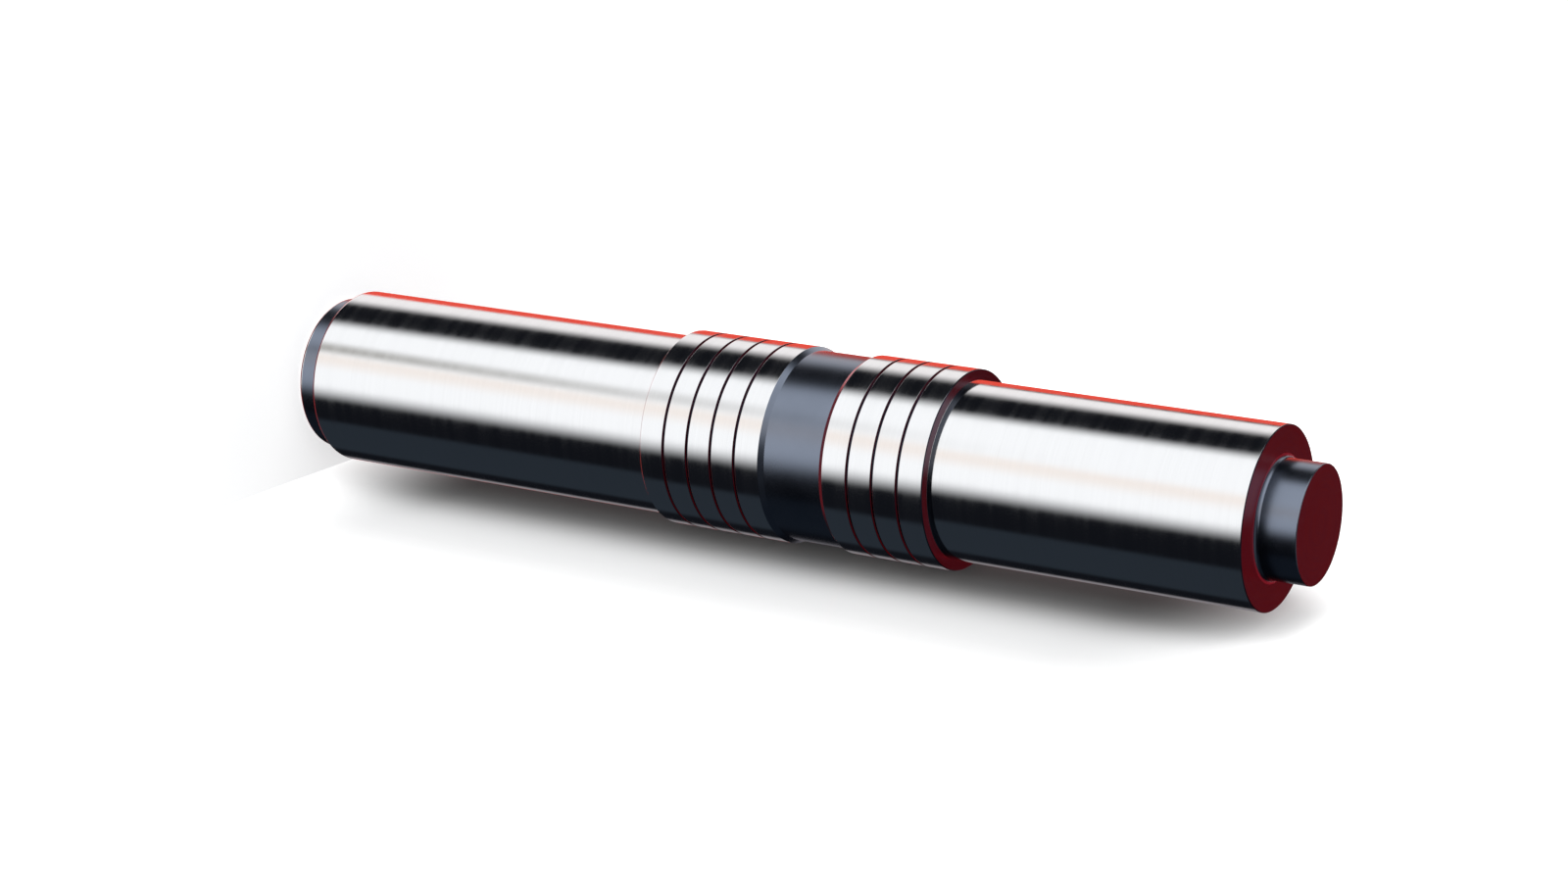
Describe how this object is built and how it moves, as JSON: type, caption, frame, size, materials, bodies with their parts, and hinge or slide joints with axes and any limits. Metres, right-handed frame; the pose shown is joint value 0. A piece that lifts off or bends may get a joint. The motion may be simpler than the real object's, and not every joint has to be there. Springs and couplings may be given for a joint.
{
  "type": "stepped shaft",
  "caption": "Solid ground steel stepped shaft: grooved heads either side of a dark relief neck, plain rods beyond them and a short stub at each end.",
  "frame": {"origin": "centre of the flat striking face, on the shaft's axis, where it stands", "axes": "+Z along the shaft's axis from the striking face to the tail; X and Y are free, because the shaft is round"},
  "size_m": [0.1079, 0.108, 0.6133],
  "materials": {
    "ground_steel": "rods and head lands ground bright; both end stubs, the neck, its cones and the groove walls blackened satin"
  },
  "bodies": {
    "root": {"stepped_shaft": "ground_steel"}
  },
  "joints": []
}
